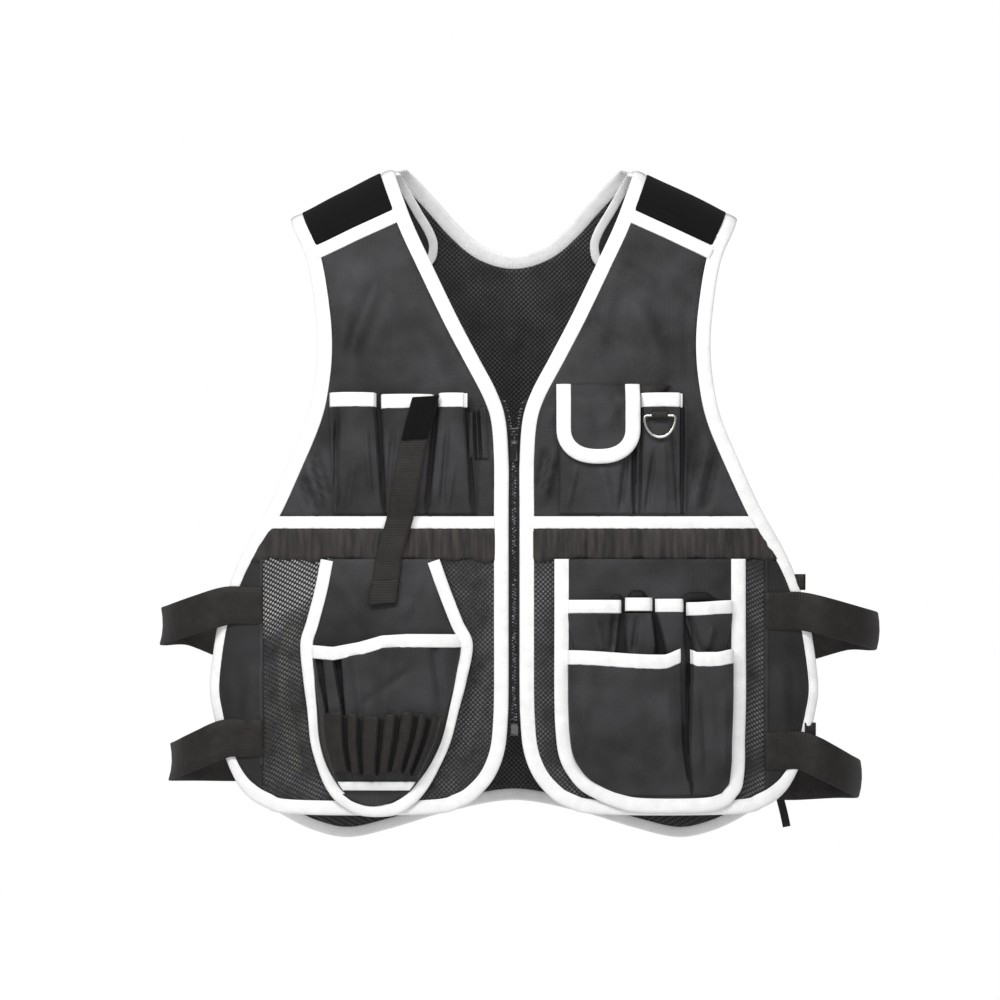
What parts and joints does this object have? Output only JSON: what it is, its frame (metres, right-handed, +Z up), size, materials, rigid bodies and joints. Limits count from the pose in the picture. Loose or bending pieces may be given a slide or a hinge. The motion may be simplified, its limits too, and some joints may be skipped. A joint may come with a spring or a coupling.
{
  "type": "tool vest",
  "caption": "Sleeveless zip-front work vest in black fabric and mesh with pale edge binding, chest and hip tool pockets, shoulder tapes and webbing side loops",
  "frame": {"origin": "middle of the shoulder line, at the height of the neck points, where the vest is held up", "axes": "+X to the right seen from the front, +Z up, -Y the front of the vest"},
  "size_m": [0.7196, 0.2305, 0.6678],
  "materials": {
    "black_fabric": "coated plain weave",
    "mesh_fabric": "open knitted mesh",
    "white_binding": "folded woven tape",
    "webbing": "ribbed flat webbing",
    "hook_patch": "hook and loop pile",
    "zip_plastic": "moulded, satin",
    "ring_metal": "nickel plated wire"
  },
  "bodies": {
    "vest": {"chest_panel_left": "black_fabric", "chest_panel_right": "black_fabric", "side_panel_left": "black_fabric", "side_panel_right": "black_fabric", "shoulder_tail_left": "black_fabric", "shoulder_tail_right": "black_fabric", "tube_pockets": "black_fabric", "pen_slots": "black_fabric", "flap": "black_fabric", "flap_pocket": "black_fabric", "pen_pocket": "black_fabric", "holster_plate": "black_fabric", "holster_pouch": "black_fabric", "tool_pocket_base": "black_fabric", "tool_upper_pocket": "black_fabric", "tool_lower_pocket": "black_fabric", "mesh_panel_left": "mesh_fabric", "mesh_panel_right": "mesh_fabric", "back_panel": "mesh_fabric", "edge_binding_left": "white_binding", "edge_binding_right": "white_binding", "chest_tape_left": "white_binding", "chest_tape_right": "white_binding", "shoulder_tape_left": "white_binding", "shoulder_tape_right": "white_binding", "tail_binding_left": "white_binding", "tail_binding_right": "white_binding", "back_binding": "white_binding", "back_neck_binding": "white_binding", "tube_pockets_edge": "white_binding", "flap_binding": "white_binding", "pen_pocket_edge": "white_binding", "holster_binding": "white_binding", "holster_mouth": "white_binding", "holster_cross_strip": "white_binding", "tool_pocket_binding": "white_binding", "tool_upper_edge": "white_binding", "tool_lower_edge": "white_binding", "waist_band_left": "webbing", "waist_band_right": "webbing", "tool_strap": "webbing", "d_ring_tab": "webbing", "holster_loops": "webbing", "side_loop_upper_left": "webbing", "side_loop_upper_right": "webbing", "side_loop_lower_left": "webbing", "side_loop_lower_right": "webbing", "strap_end": "webbing", "shoulder_patch_left": "hook_patch", "shoulder_patch_right": "hook_patch", "tool_strap_hook_patch": "hook_patch", "zip_teeth_left": "zip_plastic", "zip_teeth_right": "zip_plastic", "zip_tape_left": "zip_plastic", "zip_tape_right": "zip_plastic", "zip_stop": "zip_plastic", "zip_slider": "zip_plastic"},
    "zip_pull": {"zip_pull": "zip_plastic"},
    "d_ring": {"d_ring": "ring_metal"}
  },
  "joints": [
    {"name": "zip_pull_hinge", "type": "hinge", "parent": "vest", "child": "zip_pull", "pos_m": [0, -0.10279, -0.26715], "axis": [-1, 0, 0], "range_deg": [0, 160]},
    {"name": "d_ring_hinge", "type": "hinge", "parent": "vest", "child": "d_ring", "pos_m": [0.14512, -0.10922, -0.24788], "axis": [-1, 0, 0], "range_deg": [0, 95]}
  ]
}
